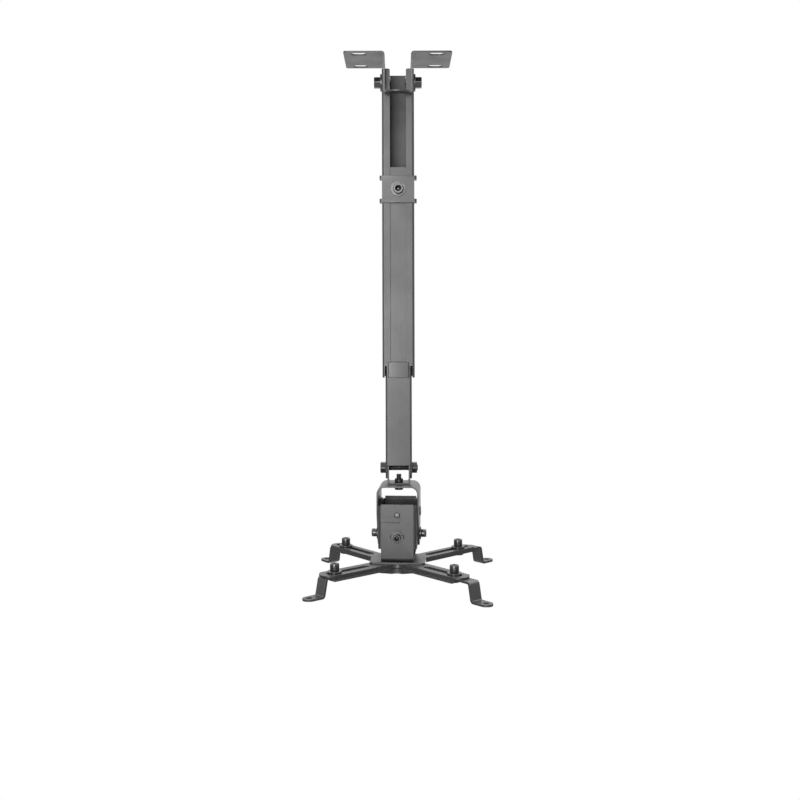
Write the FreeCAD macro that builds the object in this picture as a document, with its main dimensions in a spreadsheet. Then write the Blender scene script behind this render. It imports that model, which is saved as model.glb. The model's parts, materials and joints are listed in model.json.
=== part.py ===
import FreeCAD
import Part
import Sketcher

import math
import os

# Telescopic ceiling mount for a projector.
# Frame: origin on the ceiling face at the pole axis, X to the right, Y to the rear, Z up.
# Lengths are in millimetres and angles in degrees.

SIZES = {
    # Ceiling hanger, one folded strip
    "hanger_sheet": 1.5,
    "hanger_reach": 51.0,
    "hanger_depth": 62.0,
    "hanger_drop": 37.5,
    "hanger_bend": 1.5,
    "hanger_ledge": 9.5,
    "hanger_tab_end": 33.0,
    "hanger_tab_round": 6.0,
    "hanger_front_low": 27.5,
    "hanger_bow": 4.0,
    "hanger_corner": 3.0,
    "ceiling_slot_end": 14.5,
    "ceiling_slot_edge": 7.5,
    "ceiling_slot_long": 15.0,
    "ceiling_slot_wide": 9.0,
    "strap_gap": 0.6,
    # Outer channel
    "channel_width": 30.6,
    "channel_wall": 1.5,
    "channel_slot": 15.2,
    "channel_top": 12.8,
    "channel_length": 292.8,
    "channel_corner": 2.2,
    "lip_cut": 11.1,
    "top_bolt_drop": 23.0,
    # End stop plate at the foot of the channel
    "stop_width": 19.8,
    "stop_height": 14.9,
    "stop_sheet": 1.5,
    # Inner tube
    "tube_width": 25.0,
    "tube_wall": 1.5,
    "tube_corner": 2.0,
    "tube_top": 106.0,
    "tube_length": 297.0,
    "fold_range": 45.0,
    "fold_gap": 0.3,
    "ear_radius": 10.5,
    "lip_gap": 0.2,
    # Sliding clamp
    "clamp_height": 25.5,
    "clamp_sheet": 2.0,
    "clamp_top": 114.4,
    "clamp_hook": 3.6,
    "clamp_hook_depth": 9.0,
    "slide_gap": 0.15,
    "clamp_side_gap": 0.3,
    "clamp_nut_wide": 16.0,
    "clamp_nut_thick": 5.0,
    # Fork under the tube
    "fork_sheet": 1.5,
    "fork_depth": 20.0,
    "fork_drop": 15.2,
    "fork_bend": 1.5,
    "side_gap": 0.1,
    # Tilt yoke
    "yoke_width": 39.8,
    "yoke_sheet": 1.5,
    "yoke_depth": 40.0,
    "yoke_bend": 6.0,
    "yoke_leg_round": 11.2,
    "tilt_drop": 26.3,
    "side_arm": 21.3,
    "roll_arm": 20.4,
    "pitch_range": 15.0,
    "roll_range": 10.0,
    # Tilt block
    "block_wall": 2.0,
    "block_top": 12.0,
    "block_front_top": 8.0,
    "block_bottom": 32.0,
    "block_corner": 3.0,
    # Projector box
    "box_width": 30.6,
    "box_sheet": 2.0,
    "box_half_depth": 26.0,
    "box_top": 10.0,
    "box_drop": 43.4,
    "box_bend": 1.5,
    "hook_slot": 5.6,
    "hook_drop": 4.2,
    # Spiders
    "spider_sheet": 1.6,
    "arm_slot": 6.5,
    "arm_flange": 4.7,
    "arm_lip": 3.0,
    "flange_past": 4.0,
    "corner_radius": 8.0,
    "gusset_height": 9.0,
    "gusset_half": 19.0,
    "gusset_half_low": 5.0,
    "front_width": 19.6,
    "front_angle": 44.5,
    "front_apex": 24.1,
    "front_reach": 71.5,
    "front_slot_start": 30.0,
    "rear_width": 16.8,
    "rear_angle": 47.0,
    "rear_apex": 9.2,
    "rear_reach": 83.4,
    "rear_slot_start": 31.9,
    "hub_half_width": 26.0,
    "hub_front": 29.0,
    "hub_rear": 10.0,
    "hub_corner": 3.0,
    "hub_screw_x": 9.0,
    "hub_screw_y": 17.0,
    # Feet
    "foot_width": 12.4,
    "foot_sheet": 2.0,
    "foot_drop": 18.3,
    "foot_lean": 3.2,
    "foot_pad": 11.0,
    "foot_hole": 5.5,
    "foot_bend": 1.5,
    "foot_strap": 35.0,
    "foot_slot_near": 14.0,
    "foot_slot_far": 28.0,
    "front_left_arm": 14.0,
    "front_right_arm": 25.0,
    "rear_left_arm": 18.5,
    "rear_right_arm": 28.0,
    "front_bolt_x": 54.0,
    "rear_bolt_x": 56.0,
    # Fasteners
    "large_bolt": 6.0,
    "large_hole": 6.5,
    "large_across": 10.0,
    "large_head": 6.0,
    "pivot_head": 5.2,
    "pivot_end": 0.7,
    "large_nut": 5.0,
    "large_washer": 14.0,
    "large_washer_thick": 1.6,
    "top_washer": 16.5,
    "swivel_head": 3.5,
    "swivel_nut": 3.1,
    "swivel_stud": 4.3,
    "swivel_washer": 11.5,
    "swivel_washer_thick": 1.0,
    "cap_head": 10.0,
    "cap_height": 6.0,
    "cap_socket": 5.0,
    "foot_head": 8.5,
    "foot_head_height": 6.8,
    "foot_socket": 4.0,
    "foot_washer": 13.2,
    "foot_nut": 3.0,
    "foot_bolt_end": 0.3,
    "small_bolt": 5.0,
    "small_hole": 5.5,
    "small_across": 8.0,
    "small_nut": 4.0,
    "small_head": 7.6,
    "small_head_height": 5.0,
    "small_socket": 4.0,
    "small_washer": 11.9,
    "small_washer_thick": 1.2,
    "pin_head": 9.0,
    "pin_head_thick": 1.3,
    "pin_body": 5.2,
    "pin_proud": 1.2,
    "running_gap": 0.05,
    # Rest pose
    "swivel_yaw": -4.0,
}

os.makedirs("parts", exist_ok=True)
doc = FreeCAD.newDocument("projector_mount")
sheet = doc.addObject("Spreadsheet::Sheet", "dims")


class Size:
    """A number together with the sheet formula that gives it."""

    def __init__(self, value, formula):
        self.value = value
        self.formula = formula

    def __add__(self, other):
        other = as_size(other)
        return Size(self.value + other.value, f"({self.formula} + {other.formula})")

    def __sub__(self, other):
        other = as_size(other)
        return Size(self.value - other.value, f"({self.formula} - {other.formula})")

    def __mul__(self, other):
        other = as_size(other)
        return Size(self.value * other.value, f"({self.formula} * {other.formula})")

    def __truediv__(self, other):
        other = as_size(other)
        return Size(self.value / other.value, f"({self.formula} / {other.formula})")

    def __neg__(self):
        return Size(-self.value, f"(0 - {self.formula})")

    def __radd__(self, other):
        return as_size(other) + self

    def __rsub__(self, other):
        return as_size(other) - self

    def __rmul__(self, other):
        return as_size(other) * self


def as_size(value):
    return value if isinstance(value, Size) else Size(float(value), f"({float(value)})")


def cosine(angle):
    return Size(math.cos(math.radians(angle.value)), f"cos({angle.formula})")


def sine(angle):
    return Size(math.sin(math.radians(angle.value)), f"sin({angle.formula})")


for row, (alias, number) in enumerate(SIZES.items(), start=1):
    sheet.set(f"A{row}", alias)
    sheet.set(f"B{row}", str(number))
    sheet.setAlias(f"B{row}", alias)
doc.recompute()

D = {alias: Size(number, f"dims.{alias}") for alias, number in SIZES.items()}


# Drawing helpers

def bind(item, name, size):
    """Give a property its value and the formula behind it."""
    size = as_size(size)
    setattr(item, name, size.value)
    item.setExpression(name, size.formula)


def new_body(label):
    body = doc.addObject("PartDesign::Body", "body_" + label)
    body.Label = label
    return body


def new_sketch(body, plane, offset=None):
    """An empty sketch on one of the body's own planes, lifted by offset along its normal."""
    sketch = body.newObject("Sketcher::SketchObject", body.Name + "_sketch")
    support = [item for item in body.Origin.OriginFeatures if item.Role == plane + "_Plane"][0]
    sketch.AttachmentSupport = [(support, "")]
    sketch.MapMode = "FlatFace"
    if offset is not None:
        offset = as_size(offset)
        sketch.AttachmentOffset = FreeCAD.Placement(
            FreeCAD.Vector(0, 0, offset.value), FreeCAD.Rotation())
        sketch.setExpression("AttachmentOffset.Base.z", offset.formula)
    return sketch


def constrain(sketch, formula, kind, *where):
    index = sketch.addConstraint(Sketcher.Constraint(kind, *where))
    sketch.setExpression(f"Constraints[{index}]", formula)


def pin_point(sketch, shape, corner, x, y):
    constrain(sketch, x.formula, "DistanceX", -1, 1, shape, corner, x.value)
    constrain(sketch, y.formula, "DistanceY", -1, 1, shape, corner, y.value)


def draw_outline(sketch, points):
    """Closed outline. A point (x, y) is reached by a line, and a point
    (x, y, cx, cy, turn) by an arc about (cx, cy), turn +1 counter-clockwise or -1."""
    corners = [[as_size(value) for value in point[:4]] + list(point[4:]) for point in points]
    first = None
    last_end = None
    for index, corner in enumerate(corners):
        before = corners[index - 1]
        start = FreeCAD.Vector(before[0].value, before[1].value, 0)
        end = FreeCAD.Vector(corner[0].value, corner[1].value, 0)
        if len(corner) == 2:
            shape = sketch.addGeometry(Part.LineSegment(start, end))
            head, tail = 1, 2
        else:
            centre = FreeCAD.Vector(corner[2].value, corner[3].value, 0)
            from_angle = math.atan2(start.y - centre.y, start.x - centre.x)
            to_angle = math.atan2(end.y - centre.y, end.x - centre.x)
            circle = Part.Circle(centre, FreeCAD.Vector(0, 0, 1), start.distanceToPoint(centre))
            if corner[4] > 0:
                shape = sketch.addGeometry(Part.ArcOfCircle(circle, from_angle, to_angle))
                head, tail = 1, 2
            else:
                shape = sketch.addGeometry(Part.ArcOfCircle(circle, to_angle, from_angle))
                head, tail = 2, 1
            chord = end.sub(start)
            if abs(chord.y) > abs(chord.x):
                constrain(sketch, corner[2].formula, "DistanceX", -1, 1, shape, 3, centre.x)
            else:
                constrain(sketch, corner[3].formula, "DistanceY", -1, 1, shape, 3, centre.y)
        pin_point(sketch, shape, tail, corner[0], corner[1])
        if last_end is not None:
            sketch.addConstraint(Sketcher.Constraint("Coincident", *last_end, shape, head))
        else:
            first = (shape, head)
        last_end = (shape, tail)
    sketch.addConstraint(Sketcher.Constraint("Coincident", *last_end, *first))


def draw_rectangle(sketch, x_low, y_low, x_high, y_high):
    draw_outline(sketch, [(x_low, y_low), (x_high, y_low), (x_high, y_high), (x_low, y_high)])


def draw_circle(sketch, x, y, radius):
    x, y, radius = as_size(x), as_size(y), as_size(radius)
    centre = FreeCAD.Vector(x.value, y.value, 0)
    shape = sketch.addGeometry(Part.Circle(centre, FreeCAD.Vector(0, 0, 1), radius.value))
    constrain(sketch, radius.formula, "Radius", shape, radius.value)
    pin_point(sketch, shape, 3, x, y)


def draw_slot(sketch, x, y, length, width):
    """A slot along X with round ends; length is from end to end."""
    reach = (as_size(length) - width) / 2
    half = as_size(width) / 2
    draw_outline(sketch, [
        (x - reach, y - half),
        (x + reach, y - half),
        (x + reach, y + half, x + reach, y, 1),
        (x - reach, y + half),
        (x - reach, y - half, x - reach, y, 1),
    ][1:])


def draw_hexagon(sketch, across):
    corner = as_size(across) / math.sqrt(3)
    points = []
    for step in range(6):
        turn = math.radians(60 * step)
        points.append((corner * math.cos(turn), corner * math.sin(turn)))
    draw_outline(sketch, points)


def draw_arc_slot(sketch, centre_y, radius, width, half_angle):
    """A curved slot below (0, centre_y), swung by half_angle to each side."""
    half = width / 2
    side_x = sine(half_angle)
    side_y = cosine(half_angle)
    inner, outer = radius - half, radius + half
    end_x, end_y = radius * side_x, centre_y - radius * side_y
    zero = as_size(0)
    draw_outline(sketch, [
        (-outer * side_x, centre_y - outer * side_y),
        (outer * side_x, centre_y - outer * side_y, zero, centre_y, 1),
        (inner * side_x, centre_y - inner * side_y, end_x, end_y, 1),
        (-inner * side_x, centre_y - inner * side_y, zero, centre_y, -1),
        (-outer * side_x, centre_y - outer * side_y, -end_x, end_y, 1),
    ][1:])


def pad(body, sketch, length, symmetric=False, reverse=False):
    feature = body.newObject("PartDesign::Pad", body.Name + "_pad")
    feature.Profile = sketch
    bind(feature, "Length", length)
    if symmetric:
        feature.SideType = "Symmetric"
    feature.Reversed = reverse
    return feature


def pocket(body, sketch, depth=None, reverse=False):
    """Cut a sketch out of the body: to a depth, or right through both ways."""
    doc.recompute()
    before = body.Shape.Volume
    feature = body.newObject("PartDesign::Pocket", body.Name + "_pocket")
    feature.Profile = sketch
    if depth is None:
        feature.Type = "ThroughAll"
        feature.SideType = "Symmetric"
    else:
        bind(feature, "Length", depth)
        feature.Reversed = reverse
    doc.recompute()
    if body.Shape.Volume >= before - 1e-6:
        raise RuntimeError(f"{feature.Label} in {body.Label} cuts nothing")
    return feature


def revolve(body, sketch):
    feature = body.newObject("PartDesign::Revolution", body.Name + "_turn")
    feature.Profile = sketch
    axis = [item for item in body.Origin.OriginFeatures if item.Role == "Z_Axis"][0]
    feature.ReferenceAxis = (axis, [""])
    feature.Angle = 360
    return feature


def edges_along(shape, axis, spots):
    """Names of the straight edges along an axis that pass through the given spots, each
    given as the two other coordinates."""
    others = [index for index in range(3) if index != "xyz".index(axis)]
    names = []
    for number, edge in enumerate(shape.Edges, start=1):
        ends = [vertex.Point for vertex in edge.Vertexes]
        if len(ends) != 2 or edge.Curve.TypeId != "Part::GeomLine":
            continue
        for spot in spots:
            offs = [abs(end[index] - as_size(value).value)
                    for end in ends for index, value in zip(others, spot)]
            if max(offs) < 0.01:
                names.append(f"Edge{number}")
    return names


def fillet(body, radius, axis, spots):
    doc.recompute()
    base = body.Tip
    names = edges_along(base.Shape, axis, spots)
    if not names:
        raise RuntimeError(f"no edge to round in {body.Label}")
    feature = body.newObject("PartDesign::Fillet", body.Name + "_round")
    feature.Base = (base, names)
    bind(feature, "Radius", radius)
    return feature


def both_sides(*spots):
    """The given spots and their mirror images across the first coordinate."""
    return [(as_size(first) * side, second) for first, second in spots for side in (-1, 1)]


# Placing helpers

Z_UP = FreeCAD.Rotation()
NODES = {}


def towards(x, y, z, spin=0):
    """The rotation that turns local Z to a direction, after a spin about local Z."""
    aim = FreeCAD.Rotation(FreeCAD.Vector(0, 0, 1), FreeCAD.Vector(x, y, z))
    return aim.multiply(FreeCAD.Rotation(FreeCAD.Vector(0, 0, 1), spin))


def place(item, x=0, y=0, z=0, rotation=Z_UP):
    x, y, z = as_size(x), as_size(y), as_size(z)
    item.Placement = FreeCAD.Placement(FreeCAD.Vector(x.value, y.value, z.value), rotation)
    for name, size in (("x", x), ("y", y), ("z", z)):
        item.setExpression("Placement.Base." + name, size.formula)


def place_low(item, x=0, y=0, z=0, rotation=Z_UP):
    """Place a piece of the head, whose frame is swivelled about the pole axis."""
    x, y = as_size(x), as_size(y)
    yaw = D["swivel_yaw"]
    turn = FreeCAD.Rotation(FreeCAD.Vector(0, 0, 1), yaw.value)
    place(item, x * cosine(yaw) - y * sine(yaw), x * sine(yaw) + y * cosine(yaw) + TUBE_Y, z,
          turn.multiply(rotation))


def keep(name, *items):
    """Register a node: one piece, or several like pieces side by side."""
    if len(items) == 1:
        items[0].Label = name
        NODES[name] = items[0]
        return
    group = doc.addObject("Part::Compound", "group_" + name)
    group.Links = list(items)
    group.Label = name
    NODES[name] = group


# Levels and centres shared by several pieces

HALF_CHANNEL = D["channel_width"] / 2
HALF_TUBE = D["tube_width"] / 2
TUBE_Y = D["channel_wall"] + D["lip_gap"] + HALF_TUBE - HALF_CHANNEL
CHANNEL_BOTTOM = -(D["channel_top"] + D["channel_length"])
TUBE_BOTTOM = -(D["tube_top"] + D["tube_length"])
PIVOT_Z = TUBE_BOTTOM + D["ear_radius"]
YOKE_TOP = PIVOT_Z - D["fork_drop"]
TILT_Z = YOKE_TOP - D["tilt_drop"]
BOX_BOTTOM = TILT_Z - D["box_drop"]
HALF_YOKE = D["yoke_width"] / 2
BLOCK_X = HALF_YOKE - D["yoke_sheet"] - D["side_gap"]
BLOCK_Y = D["box_half_depth"] - D["box_sheet"] - D["side_gap"]
PIN_RADIUS = D["pin_body"] / 2
PIVOT_HOLE = D["large_bolt"] / 2 + D["running_gap"]
SWIVEL_HOLE = D["small_bolt"] / 2 + D["running_gap"]


# Fasteners, drawn along local Z: the head stands above zero and the shank below it.
# This turn brings a flat of a hexagon where its corner was.

NUT_TURN = 30


def add_shank(body, radius, length):
    sketch = new_sketch(body, "XY")
    draw_circle(sketch, 0, 0, radius)
    pad(body, sketch, length, reverse=True)


def cap_screw(label, shank, length, head, height, socket):
    body = new_body(label)
    radius, top = as_size(head) / 2, as_size(height)
    rim = top * 0.1
    shank_radius = as_size(shank) / 2
    point = shank_radius * 0.2
    sketch = new_sketch(body, "XZ")
    draw_outline(sketch, [
        (0, -length),
        (shank_radius - point, -length),
        (shank_radius, point - length),
        (shank_radius, 0),
        (radius, 0),
        (radius, top - rim),
        (radius - rim, top),
        (0, top),
    ])
    revolve(body, sketch)
    sketch = new_sketch(body, "XY", top)
    draw_hexagon(sketch, socket)
    pocket(body, sketch, top / 2)
    return body


def hex_bolt(label, shank, length, across, height):
    body = new_body(label)
    sketch = new_sketch(body, "XY")
    draw_hexagon(sketch, across)
    pad(body, sketch, height)
    add_shank(body, as_size(shank) / 2, length)
    return body


def nut(label, shank, across, height):
    body = new_body(label)
    sketch = new_sketch(body, "XY")
    draw_hexagon(sketch, across)
    draw_circle(sketch, 0, 0, as_size(shank) / 2 + D["running_gap"])
    pad(body, sketch, height)
    return body


def washer(label, hole, outside, thickness):
    body = new_body(label)
    sketch = new_sketch(body, "XY")
    draw_circle(sketch, 0, 0, as_size(outside) / 2)
    draw_circle(sketch, 0, 0, as_size(hole) / 2)
    pad(body, sketch, thickness)
    return body


# Ceiling hanger and outer channel

def ceiling_hanger():
    body = new_body("ceiling_hanger")
    sheet_t = D["hanger_sheet"]
    outer = HALF_CHANNEL - D["channel_wall"]
    inner = outer - sheet_t
    reach, drop = D["hanger_reach"], D["hanger_drop"]
    bend = D["hanger_bend"]
    half_depth = D["hanger_depth"] / 2
    sketch = new_sketch(body, "XZ")
    draw_outline(sketch, [
        (-reach, 0), (-reach, -sheet_t), (-outer, -sheet_t), (-outer, -drop),
        (outer, -drop), (outer, -sheet_t), (reach, -sheet_t), (reach, 0),
        (inner, 0), (inner, sheet_t - drop), (-inner, sheet_t - drop), (-inner, 0),
    ])
    pad(body, sketch, D["hanger_depth"], symmetric=True)
    fillet(body, bend, "y", both_sides((outer, -sheet_t), (inner, sheet_t - drop)))
    fillet(body, bend + sheet_t, "y", both_sides((inner, 0), (outer, -drop)))

    # Behind the front strap only a tab goes down inside the channel, clear of its rounded
    # inner corners
    strap_rear = -(HALF_CHANNEL + D["strap_gap"])
    tab = HALF_CHANNEL - D["channel_corner"] - D["side_gap"]
    ledge = -D["hanger_ledge"]
    tab_end = -D["hanger_tab_end"]
    below = -(drop + 5)
    behind = half_depth + 5
    sketch = new_sketch(body, "YZ")
    draw_outline(sketch, [
        (strap_rear, below), (behind, below), (behind, ledge), (tab, ledge),
        (tab, tab_end), (-tab, tab_end), (-tab, ledge), (strap_rear, ledge),
    ])
    pocket(body, sketch)
    tab_spots = [(side * tab, tab_end) for side in (-1, 1)]
    fillet(body, D["hanger_tab_round"], "x", tab_spots)

    # The front edge leans back towards the strap, and the strap bows to the front
    low = -D["hanger_front_low"]
    sketch = new_sketch(body, "YZ")
    draw_outline(sketch, [
        (-behind, below), (low, below), (low, sheet_t - drop), (-half_depth, ledge),
        (-behind, ledge),
    ])
    pocket(body, sketch)
    bow = D["hanger_bow"]
    chord = inner - bend
    bow_radius = (chord * chord + bow * bow) / (bow * 2)
    sketch = new_sketch(body, "XY", -drop)
    draw_outline(sketch, [
        (-chord, low),
        (chord, low, 0, low - bow + bow_radius, 1),
    ])
    pad(body, sketch, sheet_t)
    sketch = new_sketch(body, "XY", -drop)
    draw_outline(sketch, [
        (-chord, strap_rear),
        (chord, strap_rear, 0, strap_rear - bow + bow_radius, 1),
    ])
    pocket(body, sketch, sheet_t, reverse=True)

    sketch = new_sketch(body, "XY")
    slot_x = reach - D["ceiling_slot_end"]
    slot_y = half_depth - D["ceiling_slot_edge"]
    for x_side in (-1, 1):
        for y_side in (-1, 1):
            draw_slot(sketch, slot_x * x_side, slot_y * y_side,
                      D["ceiling_slot_long"], D["ceiling_slot_wide"])
    pocket(body, sketch, sheet_t)
    sketch = new_sketch(body, "YZ")
    draw_circle(sketch, 0, -D["top_bolt_drop"], D["large_hole"] / 2)
    pocket(body, sketch)
    fillet(body, D["hanger_corner"], "z",
           [(reach * side, half_depth * way) for side in (-1, 1) for way in (-1, 1)])
    keep("ceiling_hanger", body)


def outer_channel():
    body = new_body("outer_channel")
    half, wall, lip = HALF_CHANNEL, D["channel_wall"], D["channel_slot"] / 2
    inside = half - wall
    sketch = new_sketch(body, "XY")
    draw_outline(sketch, [
        (-lip, -half), (-lip, -inside), (-inside, -inside), (-inside, inside),
        (inside, inside), (inside, -inside), (lip, -inside), (lip, -half),
        (half, -half), (half, half), (-half, half), (-half, -half),
    ])
    pad(body, sketch, D["channel_length"])
    corner = D["channel_corner"]
    fillet(body, corner, "z", both_sides((half, half), (half, -half)))
    fillet(body, corner - wall, "z", both_sides((inside, inside), (inside, -inside)))
    sketch = new_sketch(body, "XY")
    draw_rectangle(sketch, corner - half, -(half + 1), half - corner, -inside)
    pocket(body, sketch, D["lip_cut"], reverse=True)
    sketch = new_sketch(body, "YZ")
    draw_circle(sketch, 0, D["channel_length"] + D["channel_top"] - D["top_bolt_drop"],
                D["large_hole"] / 2)
    pocket(body, sketch)
    fillet(body, wall, "y", both_sides((lip, D["channel_length"])))
    place(body, 0, 0, CHANNEL_BOTTOM)
    keep("outer_channel", body)


def end_stop():
    body = new_body("end_stop")
    half, thick = D["stop_width"] / 2, D["stop_sheet"]
    sketch = new_sketch(body, "XY")
    draw_rectangle(sketch, -half, -thick, half, 0)
    pad(body, sketch, D["stop_height"])
    fillet(body, thick * 0.6, "z", both_sides((half, -thick)))
    place(body, 0, -HALF_CHANNEL, CHANNEL_BOTTOM)
    keep("end_stop", body)


def top_fasteners():
    washer_x = HALF_CHANNEL
    head_x = washer_x + D["large_washer_thick"]
    nut_x = HALF_CHANNEL - D["channel_wall"] - D["hanger_sheet"] - D["large_nut"]
    shank = head_x - nut_x + 0.5
    height = -D["top_bolt_drop"]
    bolts, washers, nuts = [], [], []
    for side, name in ((-1, "left"), (1, "right")):
        bolt = hex_bolt("top_bolt_" + name, D["large_bolt"], shank, D["large_across"],
                        D["large_head"])
        place(bolt, head_x * side, 0, height, towards(side, 0, 0))
        bolts.append(bolt)
        ring = washer("top_washer_" + name, D["large_hole"], D["top_washer"],
                      D["large_washer_thick"])
        place(ring, washer_x * side, 0, height, towards(side, 0, 0))
        washers.append(ring)
        piece = nut("top_nut_" + name, D["large_bolt"], D["large_across"], D["large_nut"])
        place(piece, nut_x * side, 0, height, towards(side, 0, 0, NUT_TURN))
        nuts.append(piece)
    keep("top_bolts", *bolts)
    keep("top_washers", *washers)
    keep("top_nuts", *nuts)


# Inner tube and its sliding clamp

def inner_tube():
    body = new_body("inner_tube")
    half, wall, ear = HALF_TUBE, D["tube_wall"], D["ear_radius"]
    inside = half - wall
    sketch = new_sketch(body, "XY")
    draw_rectangle(sketch, -half, -half, half, half)
    draw_rectangle(sketch, -inside, -inside, inside, inside)
    pad(body, sketch, D["tube_length"])
    corner = D["tube_corner"]
    fillet(body, corner, "z", both_sides((half, half), (half, -half)))
    fillet(body, corner - wall, "z", both_sides((inside, inside), (inside, -inside)))
    # The front and rear walls end clear of the folded fork, and the side walls end as
    # round ears
    fold = D["fold_range"]
    fork_reach = (D["fork_depth"] / 2 - inside * cosine(fold)) / sine(fold)
    cut = ear + fork_reach + D["fold_gap"]
    sketch = new_sketch(body, "XZ")
    draw_rectangle(sketch, -inside, -1, inside, cut)
    pocket(body, sketch)
    sketch = new_sketch(body, "YZ")
    for side in (-1, 1):
        draw_outline(sketch, [
            ((half + 1) * side, -1), ((half + 1) * side, cut), (half * side, cut),
            (ear * side, ear), (0, 0, 0, ear, -side), (0, -1),
        ])
    pocket(body, sketch)
    sketch = new_sketch(body, "YZ")
    draw_circle(sketch, 0, ear, PIVOT_HOLE)
    pocket(body, sketch)
    clamp_height = D["tube_length"] + D["tube_top"] - D["clamp_top"] - D["clamp_height"] / 2
    sketch = new_sketch(body, "XZ")
    draw_circle(sketch, 0, clamp_height, D["large_hole"] / 2)
    pocket(body, sketch, half + 1, reverse=True)
    place(body, 0, TUBE_Y, TUBE_BOTTOM)
    keep("inner_tube", body)


def clamp_plate():
    body = new_body("clamp_plate")
    thick, height, hook = D["clamp_sheet"], D["clamp_height"], D["clamp_hook"]
    inner = HALF_CHANNEL + D["clamp_side_gap"]
    outer = inner + thick
    depth = D["clamp_hook_depth"]
    sketch = new_sketch(body, "XY")
    draw_outline(sketch, [
        (-outer, -thick), (outer, -thick), (outer, depth), (inner, depth),
        (inner, 0), (-inner, 0), (-inner, depth), (-outer, depth),
    ])
    pad(body, sketch, height)
    fillet(body, thick, "z", both_sides((outer, -thick)))
    # Between the four hooks the plate ends flush with the channel
    sketch = new_sketch(body, "XZ")
    for side in (-1, 1):
        draw_rectangle(sketch, HALF_CHANNEL * side, hook, (outer + 1) * side, height - hook)
    pocket(body, sketch)
    sketch = new_sketch(body, "XZ")
    draw_circle(sketch, 0, height / 2, D["large_hole"] / 2)
    pocket(body, sketch)
    place(body, 0, -(HALF_CHANNEL + D["slide_gap"]), -(D["clamp_top"] + height))
    keep("clamp_plate", body)


def clamp_fasteners():
    height = -(D["clamp_top"] + D["clamp_height"] / 2)
    washer_y = -(HALF_CHANNEL + D["slide_gap"] + D["clamp_sheet"])
    head_y = washer_y - D["large_washer_thick"]
    nut_y = TUBE_Y - HALF_TUBE + D["tube_wall"]
    shank = nut_y + D["clamp_nut_thick"] + 1 - head_y
    screw = cap_screw("clamp_screw", D["large_bolt"], shank, D["cap_head"], D["cap_height"],
                      D["cap_socket"])
    place(screw, 0, head_y, height, towards(0, -1, 0))
    keep("clamp_screw", screw)
    ring = washer("clamp_washer", D["large_hole"], D["large_washer"], D["large_washer_thick"])
    place(ring, 0, washer_y, height, towards(0, -1, 0))
    keep("clamp_washer", ring)
    plate = new_body("clamp_nut")
    half = D["clamp_nut_wide"] / 2
    sketch = new_sketch(plate, "XZ")
    draw_rectangle(sketch, -half, -half, half, half)
    draw_circle(sketch, 0, 0, D["large_bolt"] / 2 + D["running_gap"])
    pad(plate, sketch, D["clamp_nut_thick"], reverse=True)
    place(plate, 0, nut_y, height)
    keep("clamp_nut", plate)


# Fork and swivel

def pivot_fork():
    body = new_body("pivot_fork")
    thick, drop = D["fork_sheet"], D["fork_drop"]
    outer = HALF_TUBE - D["tube_wall"] - D["side_gap"]
    inner = outer - thick
    half_depth = D["fork_depth"] / 2
    top = drop + half_depth
    sketch = new_sketch(body, "XZ")
    draw_outline(sketch, [
        (-outer, 0), (outer, 0), (outer, top), (inner, top),
        (inner, thick), (-inner, thick), (-inner, top), (-outer, top),
    ])
    pad(body, sketch, D["fork_depth"], symmetric=True)
    fillet(body, D["fork_bend"], "y", both_sides((inner, thick)))
    fillet(body, D["fork_bend"] + thick, "y", both_sides((outer, 0)))
    sketch = new_sketch(body, "YZ")
    for side in (-1, 1):
        draw_outline(sketch, [
            (half_depth * side, drop), (0, top, 0, drop, side), (0, top + 1),
            ((half_depth + 1) * side, top + 1), ((half_depth + 1) * side, drop),
        ])
    pocket(body, sketch)
    sketch = new_sketch(body, "YZ")
    draw_circle(sketch, 0, drop, PIVOT_HOLE)
    pocket(body, sketch)
    sketch = new_sketch(body, "XY")
    draw_circle(sketch, 0, 0, SWIVEL_HOLE)
    pocket(body, sketch)
    place(body, 0, TUBE_Y, YOKE_TOP)
    keep("pivot_fork", body)


def pivot_fasteners():
    head_x = -HALF_TUBE
    shank = D["tube_width"] + D["large_nut"] + D["pivot_end"]
    bolt = hex_bolt("pivot_bolt", D["large_bolt"], shank, D["large_across"], D["pivot_head"])
    place(bolt, head_x, TUBE_Y, PIVOT_Z, towards(-1, 0, 0, NUT_TURN))
    keep("pivot_bolt", bolt)
    piece = nut("pivot_nut", D["large_bolt"], D["large_across"], D["large_nut"])
    place(piece, HALF_TUBE, TUBE_Y, PIVOT_Z, towards(1, 0, 0))
    keep("pivot_nut", piece)


def swivel_fasteners():
    base_top = YOKE_TOP + D["fork_sheet"]
    yoke_under = YOKE_TOP - D["yoke_sheet"]
    washer_low = yoke_under - D["swivel_washer_thick"]
    shank = base_top - washer_low + D["swivel_nut"] + D["swivel_stud"]
    bolt = hex_bolt("swivel_bolt", D["small_bolt"], shank, D["small_across"], D["swivel_head"])
    place(bolt, 0, TUBE_Y, washer_low, towards(0, 0, -1))
    keep("swivel_bolt", bolt)
    ring = washer("swivel_washer", D["small_hole"], D["swivel_washer"],
                  D["swivel_washer_thick"])
    place(ring, 0, TUBE_Y, washer_low)
    keep("swivel_washer", ring)
    piece = nut("swivel_nut", D["small_bolt"], D["small_across"], D["swivel_nut"])
    place(piece, 0, TUBE_Y, base_top)
    keep("swivel_nut", piece)


# Tilt yoke, tilt block and their clamp screws

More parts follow.
